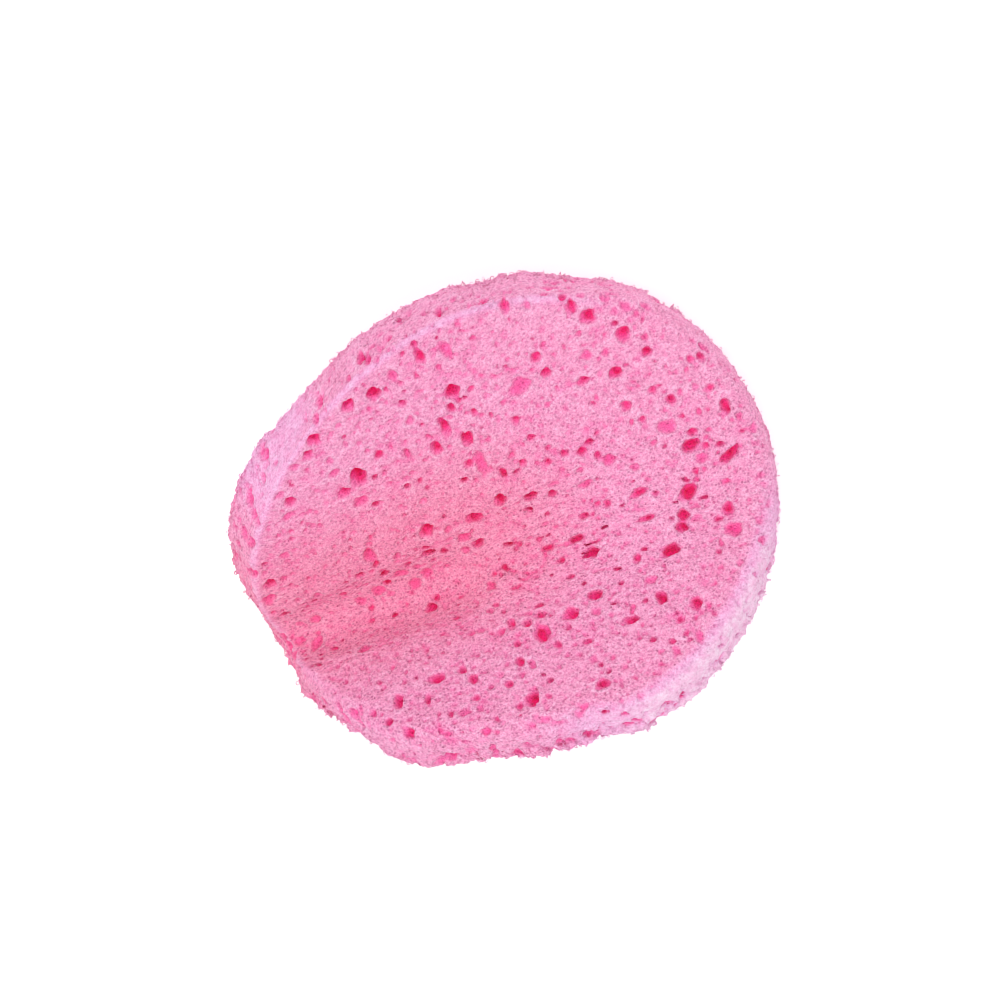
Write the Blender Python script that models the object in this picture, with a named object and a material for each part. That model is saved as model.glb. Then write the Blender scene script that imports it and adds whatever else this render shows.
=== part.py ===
"""A round pink cleansing sponge, folded softly around the hollow where it is pinched.

The pad is one piece of foam. It is made flat, its large pores are cut, and then every
point of it is carried to its place in the fold. +X runs along the fold to the open end,
+Z is up, and the part's origin is under the middle of its box, on the surface it lies on.
"""

from math import ceil, copysign, cos, hypot, pi, radians, sin

import bmesh
import bpy
from mathutils import Matrix, Vector
from mathutils.geometry import delaunay_2d_cdt

# The flat pad, a round slice of foam with softened edges
DISC_DIAMETER = 0.080
THICKNESS = 0.009
EDGE_ROUNDING = 0.0024
ROUNDING_LIMIT_SHARE = 0.4
# The pinch draws the pad out along the fold and narrows it across by this share
DRAWN_SHARE = 0.035

# The fold line lies this far on the lower side of the pad's middle
FOLD_OFFSET = 0.006
# Half width of the bent strip along the fold line
BEND_REACH_PINCHED = 0.009
BEND_REACH_OPEN = 0.013
# Degrees that each flap stands up at the two ends of the fold
UPPER_FLAP_PINCHED = 55
UPPER_FLAP_OPEN = 9
LOWER_FLAP_PINCHED = 46
LOWER_FLAP_OPEN = 22
# Degrees that the folded pad leans towards its upper flap and dips towards its pinched
# end, where it lies in balance on the bottom of the fold
REST_LEAN = 8
REST_DIP = 0.4
# The foam is flattened this much where it lies on something
KEEL_FLAT_DEPTH = 0.0005

# The hollow that the pinch presses into the front, from the rim to a round end
HOLLOW_WIDTH = 0.019
HOLLOW_DEPTH = 0.0032
HOLLOW_RIM_DEPTH = 0.0018
HOLLOW_END_X = -0.002

# Foam cells that were cut open, as tapered pits
PORE_SIDES = 6
PORE_FLOOR_SHARE = 0.55
PORE_DEPTH_SHARE = 0.9
PORE_OVERRUN = 0.0004

# Places on the face count from its middle in fortieths of the disc's radius
PLACE_STEPS = 40
# Place along X and Y, width along X, width along Y, and the turn in degrees
FACE_PORE_SHARES = (
    (12.8, 34.0, 1.6, 2.3, 0),
    (21.1, 29.5, 1.7, 2.4, 0),
    (22.7, 26.6, 2.3, 2.3, 0),
    (14.1, 25.1, 1.7, 1.8, 0),
    (20.5, 21.9, 1.6, 1.8, 0),
    (18.7, 18.2, 2.2, 1.3, 10),
    (10.4, 22.2, 3.0, 2.6, 0),
    (1.8, 26.5, 2.3, 2.4, 0),
    (0.0, 33.6, 1.4, 2.4, 0),
    (-7.6, 32.8, 2.2, 2.4, -30),
    (26.3, 22.3, 2.3, 2.3, 0),
    (23.3, 17.4, 2.0, 1.9, 0),
    (28.5, 18.3, 1.8, 1.9, 0),
    (34.8, 9.3, 1.5, 1.4, 0),
    (-14.8, 21.4, 2.8, 3.1, 0),
    (-11.3, 32.4, 2.0, 2.1, 0),
    (-17.3, 30.6, 2.1, 2.2, 0),
    (-17.0, 18.4, 2.3, 2.0, 20),
    (-24.4, 24.0, 2.1, 1.8, 0),
    (-1.1, 21.9, 1.7, 3.0, 0),
    (0.9, 17.8, 1.9, 2.4, 30),
    (-3.5, 19.3, 1.7, 2.3, 0),
    (1.2, 13.0, 1.6, 3.2, 0),
    (1.4, 6.2, 2.0, 2.1, 0),
    (5.7, 4.5, 2.3, 1.6, 25),
    (13.5, 2.5, 2.2, 1.5, 0),
    (18.0, 5.2, 1.9, 1.7, 0),
    (27.3, 6.6, 2.8, 2.4, 0),
    (29.3, 1.8, 2.9, 2.0, 10),
    (34.0, -2.0, 3.2, 1.7, 25),
    (35.4, 5.2, 1.6, 2.7, -30),
    (26.7, -5.5, 3.2, 2.3, 25),
    (20.1, -2.6, 2.6, 1.6, 0),
    (24.5, -10.0, 2.2, 3.4, -20),
    (31.3, -12.8, 2.2, 2.6, 0),
    (21.5, -14.4, 3.0, 2.1, 0),
    (9.2, -6.3, 2.6, 1.5, 0),
    (9.5, -18.3, 2.4, 2.0, 0),
    (5.2, -20.2, 2.9, 1.9, 0),
    (0.7, -22.4, 2.3, 3.0, 0),
    (18.4, -22.4, 2.1, 2.2, 0),
    (23.0, -24.6, 2.3, 2.4, 0),
    (13.4, -24.4, 2.4, 1.4, 10),
    (-3.0, -32.2, 2.7, 2.1, 20),
    (7.5, -32.4, 2.5, 1.8, 0),
    (-10.2, -26.6, 1.6, 2.2, -20),
    (-17.4, -27.4, 1.5, 2.2, 30),
    (-33.2, 10.6, 2.0, 1.9, 0),
)
# On the edge: degrees round it, height as a share of the thickness, and the width round it
# and the width up it in the same steps
EDGE_PORE_SHARES = (
    (77, 0.58, 1.8, 1.5),
    (88, 0.43, 1.9, 1.6),
    (101, 0.55, 1.8, 1.5),
    (113, 0.45, 2.0, 1.6),
    (127, 0.55, 1.9, 1.6),
    (-78, 0.49, 2.1, 1.6),
    (-92, 0.55, 1.9, 1.5),
    (-105, 0.45, 1.9, 1.6),
)

# Spacing of the mesh's points: close over the bend, wider on the flaps and on the back
ROW_SPACING = 0.0030
FLAP_ROW_SPACING = 0.0060
COLUMN_SPACING = 0.0068
BACK_SPACING_SHARE = 1.8
RIM_CLEARANCE_SHARE = 0.5
RIM_SEGMENTS = 42
ROUNDING_STEPS = 2
MERGE_DISTANCE = 0.000001
# Degrees between two faces beyond which their edge shows as sharp
SHARP_EDGE_ANGLE = 40

FOAM_COLOUR = (0.91, 0.31, 0.53, 1.0)
FOAM_ROUGHNESS = 0.9

RADIUS = DISC_DIAMETER / 2
ROUNDING = min(EDGE_ROUNDING, ROUNDING_LIMIT_SHARE * THICKNESS)
FACE_RADIUS = RADIUS - ROUNDING
PLACE_STEP = RADIUS / PLACE_STEPS


def mix(start, end, share):
    """The value a share of the way from start to end."""
    return start + (end - start) * share


def clear_scene():
    """Remove whatever the scene holds."""
    for thing in list(bpy.data.objects):
        bpy.data.objects.remove(thing)


def foam_material():
    """Matt pink foam."""
    material = bpy.data.materials.new("pink_foam")
    material.use_nodes = True
    shader = material.node_tree.nodes["Principled BSDF"]
    shader.inputs["Base Color"].default_value = FOAM_COLOUR
    shader.inputs["Roughness"].default_value = FOAM_ROUGHNESS
    shader.inputs["Metallic"].default_value = 0.0
    return material


def rim_profile():
    """Radius and height of the rings round the pad's edge, from the back to the front."""
    rings = []
    for step in range(ROUNDING_STEPS + 1):
        turn = pi / 2 * step / ROUNDING_STEPS
        rings.append((FACE_RADIUS + ROUNDING * sin(turn), ROUNDING * (1 - cos(turn))))
    return rings + [(radius, THICKNESS - height) for radius, height in reversed(rings)]


def ring_points(radius):
    """Points evenly round a circle."""
    turns = [2 * pi * step / RIM_SEGMENTS for step in range(RIM_SEGMENTS)]
    return [Vector((radius * cos(turn), radius * sin(turn))) for turn in turns]


def row_distances(spacing_share):
    """Distances of the mesh's rows from the fold line, to one side of it."""
    rows = [0.0]
    while rows[-1] < DISC_DIAMETER:
        spacing = ROW_SPACING if rows[-1] < BEND_REACH_OPEN else FLAP_ROW_SPACING
        rows.append(rows[-1] + spacing * spacing_share)
    return rows


def face_points(spacing_share):
    """Points inside the flat face, in rows along the fold line."""
    column = COLUMN_SPACING * spacing_share
    count = ceil(DISC_DIAMETER / column)
    limit = FACE_RADIUS - RIM_CLEARANCE_SHARE * column
    points = []
    for number, distance in enumerate(row_distances(spacing_share)):
        for side in (-1, 1) if number else (1,):
            y = side * distance - FOLD_OFFSET
            for step in range(-count, count + 1):
                x = step * column
                if hypot(x, y) < limit:
                    points.append(Vector((x, y)))
    return points


def add_face(bm, height, spacing_share):
    """Add one flat face of the pad, triangulated inside its outer ring."""
    ring = ring_points(FACE_RADIUS)
    edges = [(step, (step + 1) % RIM_SEGMENTS) for step in range(RIM_SEGMENTS)]
    places, _, triangles, *_ = delaunay_2d_cdt(
        ring + face_points(spacing_share), edges, [], 1, MERGE_DISTANCE
    )
    corners = [bm.verts.new((place.x, place.y, height)) for place in places]
    for triangle in triangles:
        bm.faces.new([corners[index] for index in triangle])


def flat_pad():
    """The whole pad before its pores are cut, lying flat with its back at height zero."""
    bm = bmesh.new()
    profile = rim_profile()
    rings = [
        [bm.verts.new((point.x, point.y, height)) for point in ring_points(radius)]
        for radius, height in profile
    ]
    for lower, upper in zip(rings, rings[1:]):
        for step in range(RIM_SEGMENTS):
            after = (step + 1) % RIM_SEGMENTS
            bm.faces.new((lower[step], lower[after], upper[after], upper[step]))
    add_face(bm, THICKNESS, 1)
    add_face(bm, 0.0, BACK_SPACING_SHARE)
    bmesh.ops.remove_doubles(bm, verts=bm.verts, dist=MERGE_DISTANCE)
    bmesh.ops.recalc_face_normals(bm, faces=bm.faces)
    return bm


def add_pit(bm, placing, width, length):
    """Add one pore's cutter: a tapered pit, its mouth at the placing's origin facing +Z."""
    depth = PORE_DEPTH_SHARE * min(width, length)
    slope = (1 - PORE_FLOOR_SHARE) / depth
    rings = []
    for z in (PORE_OVERRUN, -depth):
        grown = 1 + slope * z
        turns = [2 * pi * step / PORE_SIDES for step in range(PORE_SIDES)]
        corners = [(cos(turn) * width / 2 * grown, sin(turn) * length / 2 * grown, z) for turn in turns]
        rings.append([bm.verts.new(placing @ Vector(corner)) for corner in corners])
    top, floor = rings
    bm.faces.new(top)
    bm.faces.new(list(reversed(floor)))
    for step in range(PORE_SIDES):
        after = (step + 1) % PORE_SIDES
        bm.faces.new((top[after], top[step], floor[step], floor[after]))


def pore_cutters():
    """All the pores' cutters, on the flat pad."""
    bm = bmesh.new()
    for x, y, width, length, turn in FACE_PORE_SHARES:
        place = Matrix.Translation((x * PLACE_STEP, y * PLACE_STEP, THICKNESS))
        turned = place @ Matrix.Rotation(radians(turn), 4, "Z")
        add_pit(bm, turned, width * PLACE_STEP, length * PLACE_STEP)
    for direction, height, width, rise in EDGE_PORE_SHARES:
        around = Matrix.Rotation(radians(direction), 4, "Z")
        place = around @ Matrix.Translation((RADIUS, 0, height * THICKNESS))
        outward = place @ Matrix.Rotation(pi / 2, 4, "Y")
        add_pit(bm, outward, rise * PLACE_STEP, width * PLACE_STEP)
    bmesh.ops.recalc_face_normals(bm, faces=bm.faces)
    return bm


def new_object(name, bm):
    """Put a bmesh into a new object of the scene."""
    mesh = bpy.data.meshes.new(name)
    bm.to_mesh(mesh)
    bm.free()
    thing = bpy.data.objects.new(name, mesh)
    bpy.context.scene.collection.objects.link(thing)
    return thing


def cut_pad():
    """The flat pad with its pores cut, as a bmesh of triangles."""
    pad = new_object("flat_pad", flat_pad())
    cutters = new_object("pore_cutters", pore_cutters())
    cut = pad.modifiers.new("pores", "BOOLEAN")
    cut.object = cutters
    cut.operation = "DIFFERENCE"
    cut.use_self = True
    evaluated = pad.evaluated_get(bpy.context.evaluated_depsgraph_get())
    bm = bmesh.new()
    bm.from_mesh(evaluated.to_mesh())
    bpy.data.objects.remove(pad)
    bpy.data.objects.remove(cutters)
    bmesh.ops.triangulate(bm, faces=bm.faces)
    return bm


def hollow_depth(x, y):
    """How far the pinch presses the front in, at a place on the flat pad."""
    half_width = HOLLOW_WIDTH / 2
    end_centre = HOLLOW_END_X - half_width
    away = hypot(max(x - end_centre, 0), y + FOLD_OFFSET) / half_width
    if away >= 1:
        return 0.0
    to_rim = (HOLLOW_END_X - x) / (HOLLOW_END_X + RADIUS)
    return mix(HOLLOW_DEPTH, HOLLOW_RIM_DEPTH, to_rim) * (1 - away**2) ** 2


def folded(point):
    """Where a point of the flat pad lies once the pad is pinched and folded."""
    height = point.z * (1 - hollow_depth(point.x, point.y) / THICKNESS)
    offset = height - THICKNESS / 2
    to_open_end = (point.x / RADIUS + 1) / 2
    reach = mix(BEND_REACH_PINCHED, BEND_REACH_OPEN, to_open_end)
    across = point.y * (1 - DRAWN_SHARE) + FOLD_OFFSET
    if across > 0:
        angle = radians(mix(UPPER_FLAP_PINCHED, UPPER_FLAP_OPEN, to_open_end))
    else:
        angle = radians(mix(LOWER_FLAP_PINCHED, LOWER_FLAP_OPEN, to_open_end))
    distance = abs(across)
    turn = angle * min(distance / reach, 1)
    straight = max(distance - reach, 0)
    bend_radius = reach / angle
    outward = (bend_radius - offset) * sin(turn) + straight * cos(turn)
    upward = bend_radius - (bend_radius - offset) * cos(turn) + straight * sin(turn)
    return Vector((point.x * (1 + DRAWN_SHARE), copysign(outward, across) - FOLD_OFFSET, upward))


def box_of(bm):
    """Lowest and highest corners of a bmesh."""
    places = [vert.co for vert in bm.verts]
    low = Vector([min(place[axis] for place in places) for axis in range(3)])
    high = Vector([max(place[axis] for place in places) for axis in range(3)])
    return low, high


def flatten_keel(bm):
    """Cut the underside flat where the fold lies on the surface."""
    low, _ = box_of(bm)
    whole = list(bm.verts) + list(bm.edges) + list(bm.faces)
    level = Vector((0, 0, low.z + KEEL_FLAT_DEPTH))
    bmesh.ops.bisect_plane(
        bm, geom=whole, dist=MERGE_DISTANCE, plane_co=level, plane_no=(0, 0, -1), clear_outer=True
    )
    openings = [edge for edge in bm.edges if edge.is_boundary]
    bmesh.ops.holes_fill(bm, edges=openings, sides=len(openings))
    bmesh.ops.triangulate(bm, faces=[face for face in bm.faces if len(face.verts) > 3])


def sponge():
    """The folded sponge, with its origin under the middle of its box."""
    bm = cut_pad()
    for vert in bm.verts:
        vert.co = folded(vert.co)
    lean = Matrix.Rotation(radians(-REST_LEAN), 4, "X")
    dip = Matrix.Rotation(radians(-REST_DIP), 4, "Y")
    bmesh.ops.transform(bm, matrix=dip @ lean, verts=bm.verts)
    flatten_keel(bm)
    low, high = box_of(bm)
    bmesh.ops.translate(bm, vec=(-(low.x + high.x) / 2, -(low.y + high.y) / 2, -low.z), verts=bm.verts)
    bmesh.ops.recalc_face_normals(bm, faces=bm.faces)
    body = new_object("sponge", bm)
    body.data.shade_smooth()
    body.data.set_sharp_from_angle(angle=radians(SHARP_EDGE_ANGLE))
    body.data.materials.append(foam_material())
    return body


clear_scene()
sponge()
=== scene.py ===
"""The pink cleansing sponge as it looks: open foam, pinched and softly folded.

The foam is a volume on a fine grid: a round slice with bubbles carved out of it. Its surface
becomes a mesh, and every point of that is carried into the same fold as the CAD solid.
Lengths here are millimetres, until the mesh is scaled to metres at the end.
"""
from math import cos, hypot, pi, radians, sin, sqrt

import bpy
import numpy as np
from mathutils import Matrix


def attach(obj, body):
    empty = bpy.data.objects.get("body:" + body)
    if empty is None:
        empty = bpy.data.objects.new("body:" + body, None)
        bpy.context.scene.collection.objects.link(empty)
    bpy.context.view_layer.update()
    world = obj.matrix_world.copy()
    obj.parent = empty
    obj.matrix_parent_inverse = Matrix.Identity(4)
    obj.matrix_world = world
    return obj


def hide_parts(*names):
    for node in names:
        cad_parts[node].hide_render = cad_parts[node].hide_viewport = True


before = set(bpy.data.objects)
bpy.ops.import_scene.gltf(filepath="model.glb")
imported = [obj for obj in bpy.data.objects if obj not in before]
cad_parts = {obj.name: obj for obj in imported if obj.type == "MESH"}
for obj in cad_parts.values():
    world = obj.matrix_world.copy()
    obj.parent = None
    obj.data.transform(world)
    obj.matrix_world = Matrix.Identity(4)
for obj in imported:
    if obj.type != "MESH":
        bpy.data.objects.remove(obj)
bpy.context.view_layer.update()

import openvdb
from mathutils import Matrix, Vector

METRES = 0.001

# The flat pad, a round slice of foam
RADIUS = 40.0
THICKNESS = 9.0
DRAWN_SHARE = 0.035

# Sides of the pad: a direction in degrees from X, how far to either side of it that side reaches,
# and how far it then fades. On one side the front meets the edge in a crisp ridge and the edge
# leans in, while it rounds over softly elsewhere. On another the rim is lightened by painted sheen and
# glow.
CRISP_SIDE = (130.0, 62.0, 30.0)
RIM_LIGHT_SIDE = (308.0, 16.0, 34.0)
# Sides where the pad is cut a little short of a true circle, and by how much. On one it bulges.
SHORT_SIDES = (
    ((75.0, 2.0, 4.0), 0.4),
    ((87.0, 30.0, 16.0), 1.15),
    ((118.0, 6.0, 10.0), 0.4),
    ((146.0, 4.0, 8.0), -0.4),
    ((217.0, 5.0, 10.0), 1.1),
    ((262.0, 14.0, 10.0), 2.1),
    ((325.0, 12.0, 12.0), 0.4),
)
CRISP_ROUNDING = 0.5
SOFT_ROUNDING = 2.6
BACK_ROUNDING = 1.4
RIDGE_RADIUS = 37.6
LEAN_START = 3.0

# The fold: where its line lies, how wide the bend is and how far the flaps stand up
FOLD_OFFSET = 6.0
BEND_REACH_PINCHED = 9.0
BEND_REACH_OPEN = 13.0
UPPER_FLAP_PINCHED = 55
UPPER_FLAP_OPEN = 9
LOWER_FLAP_PINCHED = 46
LOWER_FLAP_OPEN = 22
REST_LEAN = 8
REST_DIP = 0.4
# Where the fold's own origin lies in the part, and the plane that the foam lies on
FOLD_ORIGIN = (0.0, -1.32, 3.55)
REST_LEVEL = 0.0

# The pinch hollow
HOLLOW_WIDTH = 19.0
HOLLOW_DEPTH = 3.2
HOLLOW_RIM_DEPTH = 1.8
HOLLOW_END_X = -2.0

# The volume grid, with room for the foam's roughness round it
GRID = 0.25
MARGIN = 1.25
LOW_CORNER = np.array([-RADIUS - MARGIN, -RADIUS - MARGIN, -MARGIN])
CELLS = (
    int(2 * (RADIUS + MARGIN) / GRID) + 1,
    int(2 * (RADIUS + MARGIN) / GRID) + 1,
    int((THICKNESS + 2 * MARGIN) / GRID) + 1,
)

# Pores read off the photograph, in four tables by how deep they look. Each is its
# place on the flat front, its widths along X and Y, and its turn in degrees.
DEEP_PORES = (
    (14.5, 22.2, 1.7, 1.4, 0), (1.8, 26.5, 2.3, 2.4, 0), (-7.6, 32.8, 2, 2.2, 0),
    (23.3, 17.4, 1.9, 1.8, 0), (28.5, 18.3, 1.5, 1.7, 0), (-14.8, 21.4, 2.7, 3.2, 0),
    (-10.9, 23.1, 1.4, 1.3, 0), (-14.7, 15.4, 1.2, 1, 0), (-33.7, 10.6, 1.9, 1.8, 0),
    (-32.4, 15.3, 0.8, 0.7, 0), (0.8, 24.2, 1.1, 1.5, 0), (0.9, 18.3, 1.8, 2.4, 0),
    (-2, 12.1, 1.2, 1.2, 0), (3.4, 10.1, 0.9, 1.7, 0), (12.5, 9, 1.3, 1.3, 0), (14.7, 8.1, 1.5, 1.4, 0),
    (16.2, 9.1, 1.4, 0.9, 0), (1.4, 6.2, 1.9, 2.1, 0), (8.6, 3.2, 1.4, 1.4, 0), (4.7, 2.1, 1, 0.5, 0),
    (11.6, -3, 1.5, 1.1, 0), (29.3, 1.8, 2.9, 2, 0), (33.4, 0.3, 1.1, 0.9, 0), (34.2, -2, 3.7, 1.6, 25),
    (26.7, -5.5, 3.2, 2.4, 25), (25.1, -9.1, 1.9, 2.2, -15), (24.2, -11, 2, 2, 0),
    (-1.8, -7, 0.6, 1.2, 0), (11.1, -10.3, 1, 1.8, 0), (9.5, -18.3, 2.3, 1.9, 0), (1.3, -17, 1.2, 1, 0),
    (-3.3, -25.7, 1.2, 1.6, 0), (-2.8, -32.5, 2.4, 2.4, 0), (0.3, -30.3, 1, 0.9, 0),
    (-0.4, -29, 0.6, 0.6, 0), (21.6, -14.4, 3.1, 2.4, 0), (18.3, -12.6, 0.8, 0.8, 0),
    (13.6, -14.6, 1.1, 0.8, 0), (13.6, -17.6, 0.9, 0.7, 0), (18.5, -22.2, 1.9, 2.1, 0),
    (13.4, -24.2, 2.3, 1.1, 0), (14, -23, 0.6, 0.6, 0), (11.8, -20.7, 0.9, 0.6, 0),
    (15.7, -28.4, 0.8, 0.8, 0), (18.3, -29.5, 0.8, 0.8, 0), (-21.5, -26.6, 1.3, 2.6, 0),
)
HALF_DEEP_PORES = (
    (12.8, 34.6, 1.5, 2.5, 0), (21.1, 29.5, 1.6, 2.3, 0), (22.7, 27.1, 2.3, 2.5, 0),
    (14.1, 25.1, 1.6, 1.7, 0), (18.7, 18.4, 2, 1.2, 0), (15.1, 19.3, 0.7, 0.7, 0), (4.3, 25.5, 1, 1, 0),
    (0, 34.2, 1.3, 2.7, 0), (0, 36.3, 1.2, 1.1, 0), (26.3, 22.3, 2.3, 2.4, 0),
    (25.7, 24.4, 1.1, 0.9, 0), (27.2, 12.7, 1.4, 1.2, 0), (33.8, 14.6, 1.2, 1.2, 0),
    (34.8, 9.3, 1.4, 1.2, 0), (32.7, 13.4, 0.7, 0.7, 0), (-4.8, 28.9, 1.3, 1.3, 0),
    (-11.3, 33.4, 1.9, 2.2, 0), (-17.3, 31.5, 2, 2.4, 0), (-19, 29.7, 1.8, 1.5, 0),
    (-17.5, 20.1, 2.1, 1.6, 0), (-9.6, 15.6, 1.2, 1.2, 0), (-24.4, 24, 2, 1.7, 0),
    (-7.4, 21, 0.6, 1.6, 0), (-34.7, 14.3, 1.3, 2, 0), (-1.1, 21.9, 1.5, 3.1, 0),
    (3.4, 21.7, 1, 1.2, 0), (-3.5, 19.3, 1.7, 2.4, 0), (-0.5, 14.4, 1.4, 1.4, 0), (5.4, 9.7, 1, 0.8, 0),
    (6.6, 10.4, 1.3, 1.4, 0), (9.8, 8.9, 1.3, 1.4, 0), (9, 13.8, 1.2, 1.1, 0), (8, 17.5, 1.2, 1.5, 0),
    (16.7, 6.4, 1.1, 1.6, 0), (5.7, 4.5, 2.3, 1.5, 0), (14, -1.8, 0.9, 0.9, 0),
    (15.4, -2.3, 1.1, 1.6, 0), (23, 12, 1.7, 1.6, 0), (24.5, 9, 1.2, 1.2, 0), (22.9, 9.3, 0.6, 1.2, 0),
    (29.1, 10, 1.5, 1.9, 0), (29.9, 6.9, 0.9, 0.9, 0), (30.4, 3.8, 1.7, 1.4, 0),
    (31.4, 0.9, 1.2, 1.2, 0), (36, 5.7, 1.4, 3, 0), (29, -2.6, 0.9, 1.3, 0), (32.4, -5.8, 1.2, 1.1, 0),
    (20.1, -2.5, 2.7, 1.4, 0), (22.4, -3.7, 1.2, 1.2, 0), (31.4, -10.6, 1.9, 2.3, 0),
    (29.5, -11.6, 1.3, 0.9, 0), (32.2, 6.6, 0.8, 0.8, 0), (-1.3, -11.7, 1.5, 0.6, 0),
    (20.1, -7.3, 2.6, 1, 0), (5, -6.4, 2, 1.4, 0), (9.2, -6.5, 2.8, 1.4, 0), (6.2, -9.5, 1.4, 1.2, 0),
    (7, -13.2, 1.1, 0.8, 0), (5.4, -20.2, 3, 2, 0), (1.2, -18.8, 1.8, 1.2, 0), (-1, -19.5, 1.6, 1.3, 0),
    (0.7, -22, 2.4, 3.6, 0), (2.6, -24.7, 1.4, 1.3, 0), (-3.1, -22.5, 1.1, 1.3, 0),
    (-3.2, -18.8, 1.2, 1.8, 0), (-0.2, -18, 0.8, 0.6, 0), (6.9, -25.6, 1.3, 0.9, 0),
    (-4.8, -19.6, 1.3, 1.2, 0), (-5.5, -29, 1.5, 1.5, 0), (-4.6, -33.2, 1.2, 1.3, 0),
    (-0.4, -32.8, 0.8, 0.8, 0), (7.3, -33.2, 2.2, 1.7, 0), (16.8, -13.9, 1.4, 1.8, 0),
    (16.2, -21.8, 0.8, 0.9, 0), (22.9, -24.7, 2, 2.3, 0), (20, -26.5, 1.5, 1, 0),
    (20, -25.3, 0.8, 0.6, 0), (20.3, -29, 1.1, 1, 0), (-10.2, -35.6, 1.5, 1.1, 0),
    (-11.6, -24.2, 1.4, 1.6, 0), (-10.3, -26.4, 1.5, 1.9, 0), (-15.5, -24.4, 2.7, 1.6, 0),
    (-17.3, -27.7, 0.9, 1.8, 0), (-14.4, -31.3, 0.8, 1.3, 0), (-10.4, -29.7, 1.4, 1, 0),
    (-25.3, -27.5, 0.8, 1.3, 0),
)
SHALLOW_PORES = (
    (20.6, 25.4, 1.2, 1.1, 0), (20.5, 21.9, 1.6, 1.8, 0), (23.1, 21, 1, 1.3, 0), (5.4, 28.9, 1, 1.4, 0),
    (5.8, 27.6, 0.7, 0.7, 0), (6.4, 35.8, 0.9, 1.3, 0), (1.6, 31.2, 0.8, 1, 0),
    (9.8, 25.7, 0.9, 1.2, 0), (10.5, 24.8, 0.9, 1.2, 0), (5.9, 23.3, 1.2, 1.2, 0),
    (-4.2, 33.7, 1.1, 2.5, 0), (-5.8, 32.4, 0.8, 1, 0), (33, 10.4, 1.2, 1.2, 0), (30.7, 10.6, 1, 1, 0),
    (-11.9, 24.8, 1, 1, 0), (-8.9, 23.4, 0.8, 1.4, 0), (-21.4, 29.2, 1.4, 1.3, 0),
    (-16.2, 17.3, 2.2, 1.8, 0), (-9.1, 17, 1.2, 0.9, 0), (-11.4, 17.7, 0.9, 0.9, 0),
    (-29.4, 14.9, 1.4, 1.5, 0), (3.5, 16.7, 1.1, 1.1, 0), (13.5, 2.5, 2.3, 1.5, 0),
    (13.6, 5.5, 1.1, 1.1, 0), (17.9, 5.1, 2.3, 2.1, 0), (6.1, -1.7, 1.5, 0.9, 0),
    (-8.5, 12, 1.2, 1.2, 0), (7.5, 21, 1, 1, 0), (13, 17.5, 1.1, 1.1, 0), (17.8, 10, 1, 0.8, 0),
    (30.3, -0.8, 2, 1.8, 0), (37.3, 3.3, 1.1, 1.2, 0), (31.1, -14.4, 2.9, 2.7, 0),
    (24.8, 4.7, 1.1, 1.1, 0), (31.9, 2.1, 1, 0.9, 0), (9.1, -21.2, 1.6, 1.3, 0),
    (-7.8, -18.2, 1.2, 1.2, 0), (5, -25.5, 0.8, 0.7, 0), (3.5, -27, 1.3, 0.8, 0),
    (5.2, -27.4, 1, 0.7, 0), (-6.2, -27.1, 0.9, 0.9, 0), (6.9, -28.8, 1.3, 1.2, 0),
    (30.6, -20.5, 1.2, 1.2, 0), (29.1, -21.7, 1.1, 0.8, 0), (25.4, -19.5, 0.7, 0.7, 0),
    (23.3, -26.5, 1, 1, 0), (11, -22.5, 1, 1.2, 0), (16.4, -30.7, 1, 1, 0), (22.1, -30.5, 1.1, 2.8, 0),
    (-12.5, -31.6, 2, 1.4, 0), (-10.2, -31.7, 1.2, 1.3, 0), (2.2, -9.8, 1.4, 0.4, 5),
    (4.3, -7.3, 1.2, 0.4, 70),
)
FAINT_PORES = (
    (15.7, 33.3, 1, 2, 0), (16.2, 28.6, 0.9, 0.9, 0), (16.6, 24.3, 0.9, 0.8, 0),
    (10.5, 22.2, 3.2, 3, 0), (17.9, 20.5, 0.9, 0.9, 0), (3.5, 33, 1.5, 3.2, 0), (6.2, 24.9, 1, 0.9, 0),
    (7.6, 23.7, 1, 1, 0), (26.9, 18, 1.2, 1.3, 0), (34.2, 13.3, 1.1, 0.9, 0), (-4.9, 25.8, 1.4, 1.4, 0),
    (-13.6, 31.5, 1.1, 1.1, 0), (-14, 28, 1.1, 1.1, 0), (-17.3, 24.4, 1.9, 1.4, 0),
    (-16.9, 26.7, 1.2, 1.5, 0), (-24.9, 26.2, 1.8, 1.3, 0), (-25.6, 21.7, 2.1, 1.4, 0),
    (-25.7, 13, 1.3, 0.7, 0), (1.2, 13.6, 1.5, 4.2, 0), (11.3, 10, 1.3, 1.4, 0), (6, 19, 1.1, 1.2, 0),
    (9.3, 5, 1.8, 0.9, 0), (27.3, 6.4, 2.9, 2.6, 0), (26.7, -10.2, 1.5, 1.4, 0), (21, 2, 1.5, 1.5, 0),
    (9, -10.4, 0.7, 0.7, 0), (-5.8, -14.8, 1.4, 1.4, 0), (-1.6, -26.7, 1.3, 1.7, 0),
    (-1, -34.6, 1.2, 1.1, 0), (17.9, -18.7, 1.8, 1.8, 0), (18.4, -31.4, 1.2, 2, 0),
    (26.3, 26.2, 1.5, 1.3, 0), (-13.3, -34.6, 0.9, 0.8, 0), (3.7, -8.8, 1.6, 0.5, 52),
    (7.5, -6.8, 2.2, 0.5, -15), (12.4, -8.2, 1.6, 0.4, 30),
)
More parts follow.
